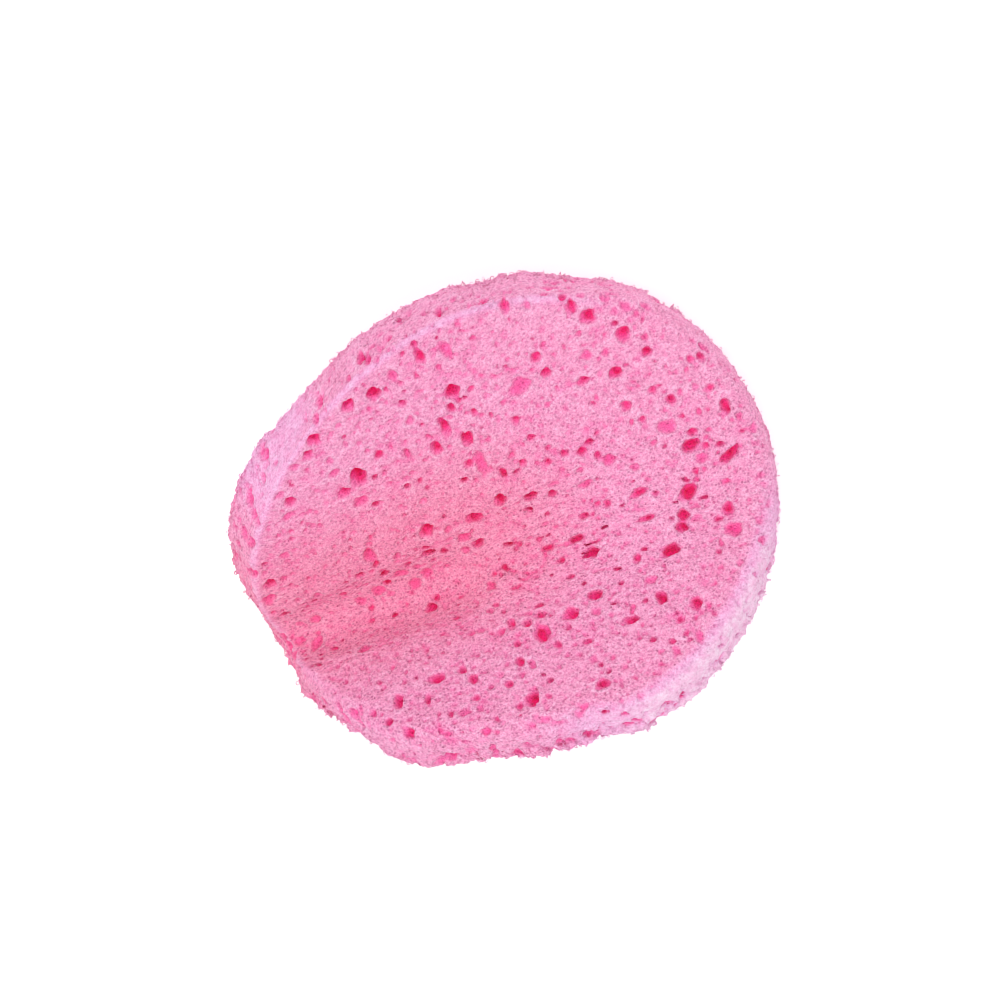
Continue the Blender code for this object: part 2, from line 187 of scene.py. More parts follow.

# Pores of the edge read off the photograph, in the same four kinds. Each is its direction
# in degrees from X, its height over the back, its width round the edge and its width along the rise.
DEEP_RIM_PORES = (
    (92, 3.6, 0.8, 1.4), (232, 9, 1.4, 1.4), (237.5, 8.6, 1.7, 1.8), (329, 2, 1.2, 1.4),
)
HALF_DEEP_RIM_PORES = (
    (101.5, 5.6, 1.1, 2.8), (100, 7, 0.9, 2.2), (94.5, 6, 0.9, 0.9), (83.5, 6.4, 0.9, 2),
    (74, 7.2, 1.4, 1.8), (75, 5.6, 0.5, 0.6), (57, 8.6, 1.2, 1.1), (22, 8.9, 1.8, 1),
    (264.5, 8.4, 0.9, 0.7), (279.5, 7.9, 2.1, 1), (244, 8.6, 0.8, 0.7),
)
SHALLOW_RIM_PORES = (
    (98, 8.5, 0.9, 2), (98.5, 5.3, 0.9, 1.1), (97, 6.5, 0.5, 1.3), (91, 7.8, 0.6, 0.6), (89, 8, 0.6, 1),
    (105, 7.3, 0.6, 1), (113, 5.7, 1.1, 3.2), (115, 8, 1.1, 2.4), (112, 8.6, 0.6, 1), (94, 8.7, 1.1, 1.3),
    (86, 5.6, 0.5, 0.9), (77, 7.2, 0.9, 1.6), (60, 6.2, 2.4, 1.1), (61, 8, 1.2, 1), (85, 8.6, 0.6, 0.7),
    (39, 8, 1.5, 1.2), (23, 8.2, 2.1, 1.1), (337.5, 8.8, 1.3, 1.5), (283, 7.3, 1.5, 1.5),
    (254.5, 8.3, 0.9, 0.9), (256.5, 8.2, 0.8, 0.8), (270, 8.2, 2.1, 1), (274.5, 8.4, 1.5, 1.6),
    (267, 8.7, 2, 1.2), (265.5, 9, 1, 0.9), (284, 8.9, 1.2, 1.2), (288, 8.6, 1.2, 1.3),
    (240, 7.2, 0.9, 0.9), (242.5, 7.6, 0.6, 0.7), (246, 8, 1.2, 0.9), (246, 7, 0.9, 1), (247, 9, 0.8, 0.8),
)
FAINT_RIM_PORES = (
    (117.5, 5.6, 0.9, 2), (95, 8.2, 0.6, 1.2), (102, 8.4, 0.9, 1.2), (80, 4.8, 1.1, 1), (72, 6.2, 0.9, 1),
    (64, 5.9, 1.4, 0.6), (53, 8.2, 1.4, 1.3), (56, 5.8, 0.9, 1.2), (48, 8.4, 1.5, 1.5), (43, 8.8, 1.8, 1.6),
    (1, 8.6, 1.8, 1.6), (357.5, 8.8, 1.2, 1.4), (347, 8.8, 1.2, 1.4), (342, 8.2, 1.8, 1.3),
    (349.5, 8.9, 1.2, 1.4), (325, 7.4, 1.5, 1.7), (333, 8, 2.1, 2), (317, 8, 1.1, 1.1),
    (291, 4.6, 1.8, 1), (281.5, 8.3, 1.2, 0.8), (241, 9, 1.2, 0.8),
)

# Creases and slits of the fold, read the same way: place, length, width, turn in degrees and depth
CREASES = (
    (0.2, -2.9, 2.4, 0.6, -19, 0.98), (13.7, -6.2, 1.9, 0.5, 13, 0.91),
    (4.5, -4.0, 1.5, 0.4, -8, 0.56), (5.7, -4.0, 0.9, 0.45, 10, 0.63),
    (10.8, -8.2, 1.7, 0.45, -4, 0.91), (9.8, -9.4, 1.2, 0.4, 22, 0.91),
    (10.1, -10.2, 1.3, 0.4, 5, 0.91), (-1.7, -7.4, 1.5, 0.35, -48, 0.49),
    (-0.5, -8.5, 1.8, 0.35, -43, 0.42), (0.9, -9.5, 1.7, 0.35, -28, 0.39),
    (2.6, -10.1, 1.9, 0.3, -9, 0.35), (-0.1, -10.4, 1.1, 0.4, -45, 0.63),
    (12.1, -24.4, 1.2, 0.35, -35, 0.42), (4.1, -22.1, 1.0, 0.35, -48, 0.56),
    (6.0, -23.4, 0.9, 0.45, -40, 0.63), (17.2, -3.7, 1.0, 0.4, 37, 0.7),
    (4.9, 1.5, 0.45, 0.4, 0, 0.56), (4.4, 2.5, 0.8, 0.35, -10, 0.42),
    (28.8, -7.2, 1.3, 0.5, -10, 0.91), (24.8, -6.4, 0.8, 0.5, -15, 0.7),
    (10.9, -9.9, 2.4, 1.6, 12, 1.6),
)
# The middle of a crease lies this share of its depth under the front
CREASE_DROP = 0.1

# Seeds of the random draws
PORE_SEED = 7
ROUGHNESS_SEED = 5
WISP_SEED = 11

# Depth of a bubble's centre under the face and its radius downwards, as shares of its size
DEEP_SHARES = (0.22, 0.62)
HALF_DEEP_SHARES = (0.12, 0.48)
SHALLOW_SHARES = (0.06, 0.42)
FAINT_SHARES = (0.01, 0.34)
DEPTH_SHARES = (DEEP_SHARES, HALF_DEEP_SHARES, SHALLOW_SHARES, FAINT_SHARES)

# How softly a bubble's lip meets the face, and the unevenness of a bubble's outline
LIP_SOFTNESS = 0.14
LOBE_SHARES = (0.08, 0.06, 0.05)
# How far a bubble may change the grid: so many times its largest radius, and so much more
CARVE_REACH = 1.2
CARVE_MARGIN = 3 * GRID
# What the grid holds where no bubble is near
NO_BUBBLE = -GRID * 10
# A pore on the rounding of the edge sits at most this share of the way over it
STEEPEST_SPOT = 0.98
# Pores too small for a bowl are this much deeper for their width
SMALL_DEEPENING = 1.35
# Pores wider than this are no deeper
WIDEST_DEEPENING = 2.1
# Larger pores, but for faint and narrow ones, are a shallow bowl with the deeper bubble to one
# side of it: the bowl's shares, how wide the bubble is in it, how far aside, which way in
# degrees from X, and how much that varies
BOWL_PORE_WIDTH = 0.9
BOWL_PORE_NARROWEST = 0.6 * BOWL_PORE_WIDTH
BOWL_SHARES = (0.0, 0.30)
INNER_WIDTH = 0.78
INNER_ASIDE = 0.10
INNER_WAY = 50.0
INNER_WAY_SPREAD = 40.0
# The two deeper kinds have small bubbles in their floor: how many, how far aside at most, how
# far down the pore's radius, and their radii across and downwards, as shares of the pore's size
FLOOR_BUBBLES = 2
FLOOR_ASIDE = 0.14
FLOOR_DROP = 0.6
FLOOR_WIDTH = 0.2
FLOOR_DEPTH = 0.3

# How far random pores of the face keep from its corner and from other pores
FACE_MARGIN = 1.1
PORE_GAP = 0.1
# How strongly random pores tend to be small, and how far they are stretched
SMALL_BIAS = 1.6
STRETCHES = (0.8, 1.25)
# How often a random pore has each of the four depths, the deepest first
LARGE_CHANCES = (0.25, 0.25, 0.25, 0.25)
SMALL_CHANCES = (0.03, 0.10, 0.32, 0.55)
# Random pores, as how many, the smallest and the largest: of the front where the pinch hides
# it, of the whole front, and of the back
PINCH_PORES = (60, 0.9, 2.6)
SMALL_FRONT_PORES = (1500, 0.42, 0.9)
LARGE_BACK_PORES = (300, 0.9, 3.0)
SMALL_BACK_PORES = (1600, 0.45, 1.0)
# The same for the edge, with the shares of its height that they lie between, and their stretch
RIM_PORES = ((150, 0.9, 1.9), (620, 0.42, 0.9))
RIM_PORE_HEIGHTS = (0.06, 0.94)
RIM_STRETCHES = (1.0, 1.7)
# Random pores on the seen parts of the edge are narrower than this
SEEN_RIM_PORE_WIDTH = 0.62
# The part of the front that the photograph doesn't show lies below this X and between these Y
HIDDEN_END_X = -3
HIDDEN_Y = (-15, 9)
# It doesn't show the edge between the first directions, nor, away from the second, below a height
HIDDEN_SIDE = (125, 225)
SHOWN_SIDE = (60, 125)
HIDDEN_HEIGHT = 4.5

# Roughness of the surface: how far it moves the surface and the size of its features
SWELL = (0.10, 2.5)
CRUMBS = (0.12, 0.55)
PORE_CRUMBS = (0.10, 0.6)
GRAIN = 0.08
# Depths under the plain slice's surface where the crumbs of the pores start and are full
INSIDE_DEPTHS = (0.3, 1.2)
# Tears along the edge, coarse and fine, and how much of them is left away from the back
FRAYS = ((0.50, 1.6), (0.36, 0.75))
FINE_FRAYS = (0.26, 0.4)
FRAYS_AT_FRONT = 0.35
# Where tears start and are full, measured from the outline, the heights that they weaken
# between, and those that they end between on the crisp side
FRAY_BAND = (-3.0, -0.5)
FRAY_FADE = (2.0, 6.0)
CRISP_FRAY_END = (6.5, 8.0)
# The side with the most tears, and the share of the coarse ones that the rest of the edge has
RAGGED_SIDE = (240.0, 45.0, 25.0)
CALM_SHARE = 0.3

# Wisps of foam that stand up from the edge, as thin arched tubes
WISPS = 2200
WISP_SEGMENTS = 6
WISP_SIDES = 4
WISP_RADIUS = 0.07
# They are rooted this near the outline, this far under the slice's surface at most
WISP_BAND = 1.5
WISP_ROOT_DEPTH = 0.2
# How far their ends are sunk, their length, the least arch and what is added, most often a
# little, then their sideways bend, and how far they may lean up or down
WISP_SINK = 0.15
WISP_LENGTHS = (0.3, 0.8)
WISP_ARCH = 0.2
WISP_ARCH_SPREAD = 0.5
WISP_ARCH_BIAS = 3
WISP_BEND = 0.25
WISP_LEAN = 0.5
# A side where they are a fringe, and how much taller and longer they are there
FRINGE_SIDE = (73.0, 5.0, 4.0)
FRINGE_RISE = 0.7
FRINGE_LENGTH = 0.7
# Above this height there are fewer of them, by this factor
CALM_HEIGHT = 3.0
CALM_WISPS = 0.3

# Where the painted warm reflection and shade of the pinching fingers tint the foam: from the pinched end
# along X to here, and how near
FINGER_SHADING_END_X = -8.0
FINGER_SHADING_Y = 0.0
FINGER_SHADING_REACH = (6.0, 28.0)
# The painted highlight along the crisp ridge: its width and strength, and the width of the painted sheen
# and glow on the rim
RIDGE_HIGHLIGHT_BAND = 0.75
RIDGE_HIGHLIGHT = 0.6
RIM_LIGHT_BAND = 2.9
# The side where the edge below the ridge is lightened by painted light too, how much, and where that starts
# and is full, measured outwards from the ridge
LIT_WALL_SIDE = (128.0, 7.0, 10.0)
WALL_LIGHT = 0.45
WALL_LIGHT_FADE = (-0.2, 0.4)
# Depths in a pore where the painted rim light starts to fade and has gone
RIM_LIGHT_DEPTHS = (0.15, 0.8)
# Bubbles wider than this have a pale lip
LIP_PORE_WIDTH = 0.95
# Where the lip starts outside its bubble and is full, and the depths that it fades between
LIP_REACH = (-0.75, -0.15)
LIP_DEPTHS = (0.05, 0.35)


def mix(start, end, share):
    """The value a share of the way from start to end."""
    return start + (end - start) * share


def smoothstep(low, high, value):
    """0 below low, 1 above high, and a smooth rise between them."""
    share = np.clip((value - low) / (high - low), 0, 1)
    return share * share * (3 - 2 * share)


def grid_axes():
    """Coordinates along X, Y and Z of the volume grid's points."""
    return [LOW_CORNER[axis] + GRID * np.arange(CELLS[axis]) for axis in range(3)]


def lattice_weights(count, cell):
    """Weights that carry a coarse lattice, one point each cell, to count fine points."""
    place = np.arange(count) / cell
    before = place.astype(int)
    share = smoothstep(0, 1, place - before)
    weights = np.zeros((count, before[-1] + 2), np.float32)
    weights[np.arange(count), before] = 1 - share
    weights[np.arange(count), before + 1] = share
    return weights


def grid_noise(rng, size):
    """Smooth noise from -1 to 1 on the volume grid, with features of that size."""
    weights = [lattice_weights(count, size / GRID) for count in CELLS]
    noise = rng.uniform(-1, 1, [w.shape[1] for w in weights]).astype(np.float32)
    for weight in weights:
        noise = np.tensordot(noise, weight, axes=(0, 1))
    return noise


def on_side(direction, side):
    """1 on a side of the pad, 0 away from it."""
    middle, reach, fade = side
    away = np.abs((direction - middle + 180) % 360 - 180)
    return 1 - smoothstep(reach, reach + fade, away)


def direction_of(x, y):
    """The direction of a place from the pad's middle, in degrees from X."""
    return np.degrees(np.arctan2(y, x))


def plan_radius(direction):
    """Radius of the pad's outline in a direction."""
    return RADIUS - sum(cut * on_side(direction, side) for side, cut in SHORT_SIDES)


def front_edge(direction):
    """Radius and rounding of the corner between the front and the edge in a direction."""
    crisp = on_side(direction, CRISP_SIDE)
    return mix(plan_radius(direction), RIDGE_RADIUS, crisp), mix(SOFT_ROUNDING, CRISP_ROUNDING, crisp)


def wall_lean(z):
    """Share of the way in to the front corner's radius that the edge has come at a height."""
    return np.clip((z - LEAN_START) / (THICKNESS - LEAN_START), 0, 1)


def slice_distance(x, y, z):
    """Signed distance to the plain slice, negative inside."""
    direction = direction_of(x, y)
    corner, corner_rounding = front_edge(direction)
    rounding = np.where(z > THICKNESS / 2, corner_rounding, BACK_ROUNDING)
    wall = mix(plan_radius(direction), corner, wall_lean(z))
    beyond = np.hypot(x, y) - (wall - rounding)
    above = np.abs(z - THICKNESS / 2) - (THICKNESS / 2 - rounding)
    outside = np.hypot(np.maximum(beyond, 0), np.maximum(above, 0))
    return outside + np.minimum(np.maximum(beyond, above), 0) - rounding


def rim_spot(direction, height):
    """A point of the plain slice's edge, with the axes round, up and out of the edge there."""
    corner, corner_rounding = front_edge(direction)
    front = height > THICKNESS / 2
    rounding = corner_rounding if front else BACK_ROUNDING
    middle = abs(height - THICKNESS / 2)
    over = min(max(middle - (THICKNESS / 2 - rounding), 0), STEEPEST_SPOT * rounding)
    inwards = sqrt(rounding**2 - over**2)
    plan = plan_radius(direction)
    radius = mix(plan, corner, wall_lean(height)) - rounding + inwards
    slope = (plan - corner) / (THICKNESS - LEAN_START) if height > LEAN_START else 0
    level = inwards / rounding
    upward = (over / rounding if front else -over / rounding) + slope * level
    size = hypot(level, upward)
    level, upward = level / size, upward / size
    c, s = cos(radians(direction)), sin(radians(direction))
    mouth = np.array((radius * c, radius * s, height))
    return mouth, ((-s, c, 0), (-c * upward, -s * upward, level), (c * level, s * level, upward))


def carve(foam, axes, centre, frame_axes, radii, rng):
    """Hollow a bubble out of the foam: an ellipsoid with an uneven outline."""
    reach = CARVE_REACH * max(radii) + CARVE_MARGIN
    block = []
    offsets = []
    for axis in range(3):
        first = max(int((centre[axis] - reach - LOW_CORNER[axis]) / GRID), 0)
        last = max(int((centre[axis] + reach - LOW_CORNER[axis]) / GRID) + 2, 0)
        block.append(slice(first, last))
        offsets.append(axes[axis][first:last] - centre[axis])
    if not all(len(offset) for offset in offsets):
        return
    dx, dy, dz = np.meshgrid(*offsets, indexing="ij", sparse=True)
    along = [(dx * a[0] + dy * a[1] + dz * a[2]) / r for a, r in zip(frame_axes, radii)]
    around = np.arctan2(along[1], along[0])
    swell = 1.0
    for number, share in enumerate(LOBE_SHARES):
        swell = swell + share * np.cos((number + 2) * around + rng.uniform(0, 2 * pi))
    grown = np.sqrt(along[0] ** 2 + along[1] ** 2 + along[2] ** 2) / swell
    bubble = (1 - grown) * min(radii[:2])
    here = foam["distance"][tuple(block)]
    apart = here - bubble
    foam["distance"][tuple(block)] = (here + bubble + np.sqrt(apart**2 + LIP_SOFTNESS**2)) / 2
    if min(radii[:2]) > LIP_PORE_WIDTH / 2:
        np.maximum(foam["bubble"][tuple(block)], bubble, out=foam["bubble"][tuple(block)])


def bubble_at(foam, axes, rng, mouth, frame_axes, width, length, shares):
    """Carve a bubble whose mouth has this width and length."""
    size = sqrt(width * length)
    centre_share, radius_share = shares
    narrowing = sqrt(1 - (centre_share / radius_share) ** 2)
    deep = min(size, WIDEST_DEEPENING) * (SMALL_DEEPENING if size < BOWL_PORE_WIDTH else 1)
    radii = (width / 2 / narrowing, length / 2 / narrowing, radius_share * deep)
    centre = mouth - np.array(frame_axes[2]) * centre_share * deep
    carve(foam, axes, centre, frame_axes, radii, rng)


def pore(foam, axes, rng, mouth, frame_axes, width, length, shares):
    """Carve a pore: one bubble or, if it is larger, a bowl, a bubble in it and more in its floor."""
    size = sqrt(width * length)
    small = size < BOWL_PORE_WIDTH or min(width, length) < BOWL_PORE_NARROWEST
    if small or shares == FAINT_SHARES:
        bubble_at(foam, axes, rng, mouth, frame_axes, width, length, shares)
        return
    bubble_at(foam, axes, rng, mouth, frame_axes, width, length, BOWL_SHARES)
    across, along, outward = (np.array(axis) for axis in frame_axes)
    way = radians(INNER_WAY + INNER_WAY_SPREAD * rng.uniform(-1, 1))
    shift = np.array((cos(way), sin(way), 0)) * INNER_ASIDE
    inner = mouth + across * across.dot(shift) * width + along * along.dot(shift) * length
    bubble_at(foam, axes, rng, inner, frame_axes, INNER_WIDTH * width, INNER_WIDTH * length, shares)
    if shares == SHALLOW_SHARES:
        return
    radii = (FLOOR_WIDTH * width, FLOOR_WIDTH * length, FLOOR_DEPTH * size)
    for _ in range(FLOOR_BUBBLES):
        aside = rng.uniform(-FLOOR_ASIDE, FLOOR_ASIDE, 2) * (width, length)
        below = inner - outward * (shares[0] + FLOOR_DROP * shares[1]) * size
        carve(foam, axes, below + across * aside[0] + along * aside[1], frame_axes, radii, rng)


def crease(foam, axes, rng, x, y, length, width, turn, depth):
    """Carve a narrow slit into the front."""
    centre = face_mouth(x, y) - np.array((0, 0, CREASE_DROP * depth))
    carve(foam, axes, centre, face_axes(turn, 1), (length / 2, width / 2, depth), rng)


def face_mouth(x, y):
    """The middle of a pore's mouth on the front, lower where the rim rounds over."""
    corner, rounding = front_edge(direction_of(x, y))
    over = min(max(hypot(x, y) - (corner - rounding), 0), rounding)
    return np.array((x, y, THICKNESS - rounding + sqrt(rounding**2 - over**2)))


def face_axes(turn, up):
    """Axes of a pore on the front or, with up at -1, on the back."""
    angle = radians(turn)
    return ((cos(angle), sin(angle), 0), (-sin(angle), cos(angle), 0), (0, 0, up))


def with_shares(tables):
    """The rows of four tables, each with the depth shares of its table."""
    return [(*row, shares) for rows, shares in zip(tables, DEPTH_SHARES) for row in rows]


def scatter(rng, count, least, most, chances, taken, inside):
    """Random pores on a flat round face that keep clear of those in taken."""
    placed = []
    while len(placed) < count:
        x, y = rng.uniform(-RADIUS, RADIUS, 2)
        size = least * (most / least) ** (rng.random() ** SMALL_BIAS)
        stretch = rng.uniform(*STRETCHES)
        shares = DEPTH_SHARES[rng.choice(4, p=chances)]
        turn = rng.uniform(0, 180)
        if not inside(x, y):
            continue
        gaps = np.hypot(taken[:, 0] - x, taken[:, 1] - y) - (taken[:, 2] + size) / 2
        if gaps.min() < PORE_GAP:
            continue
        placed.append((x, y, size * stretch, size / stretch, turn, shares))
        taken = np.vstack([taken, (x, y, size)])
    return placed, taken


def on_face(x, y):
    """Whether a place is on the flat face, clear of its rim."""
    return hypot(x, y) < front_edge(direction_of(x, y))[0] - FACE_MARGIN


def under_pinch(x, y):
    """Whether a place is in the part of the front that the photograph doesn't show."""
    return on_face(x, y) and x < HIDDEN_END_X and HIDDEN_Y[0] < y < HIDDEN_Y[1]


def face_pores(rng):
    """All the pores of the front, and those of the back."""
    front = with_shares((DEEP_PORES, HALF_DEEP_PORES, SHALLOW_PORES, FAINT_PORES))
    taken = np.array([(x, y, (w + l) / 2) for x, y, w, l, *_ in front])
    hidden, taken = scatter(rng, *PINCH_PORES, LARGE_CHANCES, taken, under_pinch)
    small, taken = scatter(rng, *SMALL_FRONT_PORES, SMALL_CHANCES, taken, on_face)
    off_the_pad = np.array([(2 * RADIUS, 0, 0)])
    large, taken = scatter(rng, *LARGE_BACK_PORES, LARGE_CHANCES, off_the_pad, on_face)
    fine, taken = scatter(rng, *SMALL_BACK_PORES, SMALL_CHANCES, taken, on_face)
    return front + hidden + small, large + fine


def unseen_rim(direction, height):
    """Whether a place on the edge is one that the photograph doesn't show."""
    if HIDDEN_SIDE[0] < direction < HIDDEN_SIDE[1]:
        return True
    return height < HIDDEN_HEIGHT and not SHOWN_SIDE[0] < direction < SHOWN_SIDE[1]


def rim_pores(rng):
    """The pores of the edge: direction, height, width, rise and depth shares."""
    placed = with_shares((DEEP_RIM_PORES, HALF_DEEP_RIM_PORES, SHALLOW_RIM_PORES, FAINT_RIM_PORES))
    for count, least, most in RIM_PORES:
        for _ in range(count):
            direction, height = rng.uniform(0, 360), rng.uniform(*RIM_PORE_HEIGHTS) * THICKNESS
            width, stretch = rng.uniform(least, most), rng.uniform(*RIM_STRETCHES)
            shares = (SHALLOW_SHARES, FAINT_SHARES)[rng.integers(2)]
            if width < SEEN_RIM_PORE_WIDTH or unseen_rim(direction, height):
                placed.append((direction, height, width, stretch * width, shares))
    return placed


def tear_strengths(x, y, z):
    """How strong the fine tears and the coarse ones are at places of the slice."""
    direction = direction_of(x, y)
    fine = smoothstep(*FRAY_BAND, np.hypot(x, y) - plan_radius(direction))
    fine = fine * mix(1, FRAYS_AT_FRONT, smoothstep(*FRAY_FADE, z))
    fine = fine * (1 - on_side(direction, CRISP_SIDE) * smoothstep(*CRISP_FRAY_END, z))
    fine = fine.astype(np.float32)
    return fine, fine * mix(CALM_SHARE, 1, on_side(direction, RAGGED_SIDE)).astype(np.float32)


def carve_pores(foam, axes):
    """Carve all the pores and creases."""
    rng = np.random.default_rng(PORE_SEED)
    front, back = face_pores(rng)
    for x, y, width, length, turn, shares in front:
        pore(foam, axes, rng, face_mouth(x, y), face_axes(turn, 1), width, length, shares)
    for x, y, width, length, turn, shares in back:
        mouth = np.array((x, y, 0.0))
        pore(foam, axes, rng, mouth, face_axes(turn, -1), width, length, shares)
    for direction, height, width, rise, shares in rim_pores(rng):
        mouth, frame_axes = rim_spot(direction, height)
        pore(foam, axes, rng, mouth, frame_axes, width, rise, shares)
    for row in CREASES:
        crease(foam, axes, rng, *row)


def foam_volume():
    """The porous slice on the grid: distances, negative in the foam, and its largest bubbles."""
    rng = np.random.default_rng(ROUGHNESS_SEED)
    axes = grid_axes()
    x, y, z = np.meshgrid(*axes, indexing="ij", sparse=True)
    solid = slice_distance(x, y, z).astype(np.float32)
    fine, coarse = tear_strengths(x, y, z)
    foam = {"distance": solid + SWELL[0] * grid_noise(rng, SWELL[1])}
    foam["bubble"] = np.full(CELLS, NO_BUBBLE, np.float32)
    carve_pores(foam, axes)
    for amount, size in FRAYS:
        foam["distance"] += amount * coarse * grid_noise(rng, size)
    foam["distance"] += FINE_FRAYS[0] * fine * grid_noise(rng, FINE_FRAYS[1])
    foam["distance"] += CRUMBS[0] * grid_noise(rng, CRUMBS[1])
    inside = smoothstep(*INSIDE_DEPTHS, -solid)
    foam["distance"] += PORE_CRUMBS[0] * inside * grid_noise(rng, PORE_CRUMBS[1])
    foam["distance"] += GRAIN * rng.uniform(-1, 1, CELLS).astype(np.float32)
    return foam


def main_piece(points, quads):
    """The largest connected piece of a mesh, without loose crumbs."""
    label = np.arange(len(points))
    edges = np.concatenate([quads[:, [0, 1]], quads[:, [1, 2]], quads[:, [2, 3]]])
    while True:
        least = np.minimum(label[edges[:, 0]], label[edges[:, 1]])
        before = label.copy()
        np.minimum.at(label, label[edges[:, 0]], least)
        np.minimum.at(label, label[edges[:, 1]], least)
        label = label[label]
        if (label == before).all():
            break
    largest = np.bincount(label).argmax()
    kept = label == largest
    number = np.cumsum(kept) - 1
    return points[kept], number[quads[kept[quads[:, 0]]]]


def sampled(values, points):
    """Values of the grid at points between its own."""
    place = (points - LOW_CORNER) / GRID
    before = place.astype(int)
    share = place - before
    total = np.zeros(len(points), np.float32)
    for corner in np.ndindex(2, 2, 2):
        weight = np.prod(np.where(corner, share, 1 - share), axis=1)
        total += weight * values[tuple((before + corner).T)]
    return total


def hollow_depth(x, y):
    """How far the pinch presses the front in, at places on the flat pad."""
    half_width = HOLLOW_WIDTH / 2
    end_centre = HOLLOW_END_X - half_width
    away = np.hypot(np.maximum(x - end_centre, 0), y + FOLD_OFFSET) / half_width
    to_rim = (HOLLOW_END_X - x) / (HOLLOW_END_X + RADIUS)
    depth = mix(HOLLOW_DEPTH, HOLLOW_RIM_DEPTH, to_rim)
    return depth * np.maximum(1 - away**2, 0) ** 2


def folded(points):
    """Where points of the flat pad lie once the pad is pinched and folded."""
    x, y, z = points.T
    height = z * (1 - hollow_depth(x, y) / THICKNESS)
    offset = height - THICKNESS / 2
    to_open_end = (x / RADIUS + 1) / 2
    reach = mix(BEND_REACH_PINCHED, BEND_REACH_OPEN, to_open_end)
    across = y * (1 - DRAWN_SHARE) + FOLD_OFFSET
    upper = mix(UPPER_FLAP_PINCHED, UPPER_FLAP_OPEN, to_open_end)
    lower = mix(LOWER_FLAP_PINCHED, LOWER_FLAP_OPEN, to_open_end)
    angle = np.radians(np.where(across > 0, upper, lower))
    distance = np.abs(across)
    turn = angle * np.minimum(distance / reach, 1)
    straight = np.maximum(distance - reach, 0)
    bend_radius = reach / angle
    outward = (bend_radius - offset) * np.sin(turn) + straight * np.cos(turn)
    upward = bend_radius - (bend_radius - offset) * np.cos(turn) + straight * np.sin(turn)
    return np.stack([x * (1 + DRAWN_SHARE), np.copysign(outward, across) - FOLD_OFFSET, upward], axis=1)


def resting():
    """The matrix that carries the fold's own frame to where the part lies."""
    lean = Matrix.Rotation(radians(-REST_LEAN), 4, "X")
    dip = Matrix.Rotation(radians(-REST_DIP), 4, "Y")
    return Matrix.Translation(FOLD_ORIGIN) @ dip @ lean


def painted_finger_shading(flat):
    """How strongly the fingers' painted warm reflection and shade tint the foam, from 0 to 1."""
    along = np.maximum(flat[:, 0] - FINGER_SHADING_END_X, 0)
    away = np.hypot(along, flat[:, 1] - FINGER_SHADING_Y)
    return 1 - smoothstep(*FINGER_SHADING_REACH, away)


def painted_rim_light(flat, depth):
    """How strongly painted light lightens the foam: a highlight along its crisp ridge, sheen and glow on
    its soft rim, and light on one side's edge, from 0 to 1.
    """
    x, y, z = flat.T
    direction = direction_of(x, y)
    radius = np.hypot(x, y)
    from_ridge = np.hypot(radius - RIDGE_RADIUS, z - THICKNESS)
    ridge = RIDGE_HIGHLIGHT * np.exp(-((from_ridge / RIDGE_HIGHLIGHT_BAND) ** 2)) * on_side(direction, CRISP_SIDE)
    rim = smoothstep(-RIM_LIGHT_BAND, 0, radius - plan_radius(direction)) * on_side(direction, RIM_LIGHT_SIDE)
    past_ridge = smoothstep(RIDGE_RADIUS + WALL_LIGHT_FADE[0], RIDGE_RADIUS + WALL_LIGHT_FADE[1], radius)
    wall = WALL_LIGHT * past_ridge * on_side(direction, LIT_WALL_SIDE)
    return np.maximum(np.maximum(ridge, rim), wall) * (1 - smoothstep(*RIM_LIGHT_DEPTHS, depth))


def store(mesh, name, values):
    """Keep one number for each point of the mesh."""
    layer = mesh.attributes.new(name, "FLOAT", "POINT")
    layer.data.foreach_set("value", np.ascontiguousarray(values, np.float32))


def store_flat(mesh, flat):
    """Keep for each point of the mesh where it lies on the flat pad."""
    layer = mesh.attributes.new("flat", "FLOAT_VECTOR", "POINT")
    layer.data.foreach_set("vector", np.ascontiguousarray(flat, np.float32).ravel())


# The UV map: the front and the back as two discs in the unit square, and
# how much of its side a millimetre takes
DISC_CENTRES = ((0.293, 0.293), (0.707, 0.707))
DISC_SCALE = 0.288 / 45.5
WALL_BAND = 3.0


def bake_map(mesh, flat, quads):
    """Lay the front and the back out as discs, each with its half of the edge round it."""
    x, y, z = flat.T
    radius = np.hypot(x, y)
    on_wall = np.clip((radius - (RADIUS - WALL_BAND)) / WALL_BAND, 0, 1)
    places = []
    for from_face in (THICKNESS - z, z):
        stretched = 1 + on_wall * np.clip(from_face, 0, THICKNESS / 2) / np.maximum(radius, 1)
        places.append(np.stack([x, y], axis=1) * stretched[:, None] * DISC_SCALE)
    front = z[quads].mean(axis=1) > THICKNESS / 2
    corners = [place[quads] + centre for place, centre in zip(places, DISC_CENTRES)]
    chosen = np.where(front[:, None, None], corners[0], corners[1])
    layer = mesh.uv_layers.new(name="OFBake")
    layer.uv.foreach_set("vector", np.ascontiguousarray(chosen, np.float32).ravel())


def placed_mesh(name, flat, quads):
    """A mesh of points on the flat pad, carried into the fold and scaled to metres."""
    turn = np.array(resting())
    points = folded(flat) @ turn[:3, :3].T + turn[:3, 3]
    points[:, 2] = np.maximum(points[:, 2], REST_LEVEL)
    mesh = bpy.data.meshes.new(name)
    mesh.from_pydata(points * METRES, [], quads)
    mesh.shade_smooth()
    store_flat(mesh, flat)
    return mesh


def store_looks(mesh, flat, depth, lip):
    """Keep what the material reads at each point of the mesh."""
    store(mesh, "depth", depth)
    store(mesh, "pale", painted_rim_light(flat, depth))
    store(mesh, "finger_shading", painted_finger_shading(flat))
    store(mesh, "lip", lip)


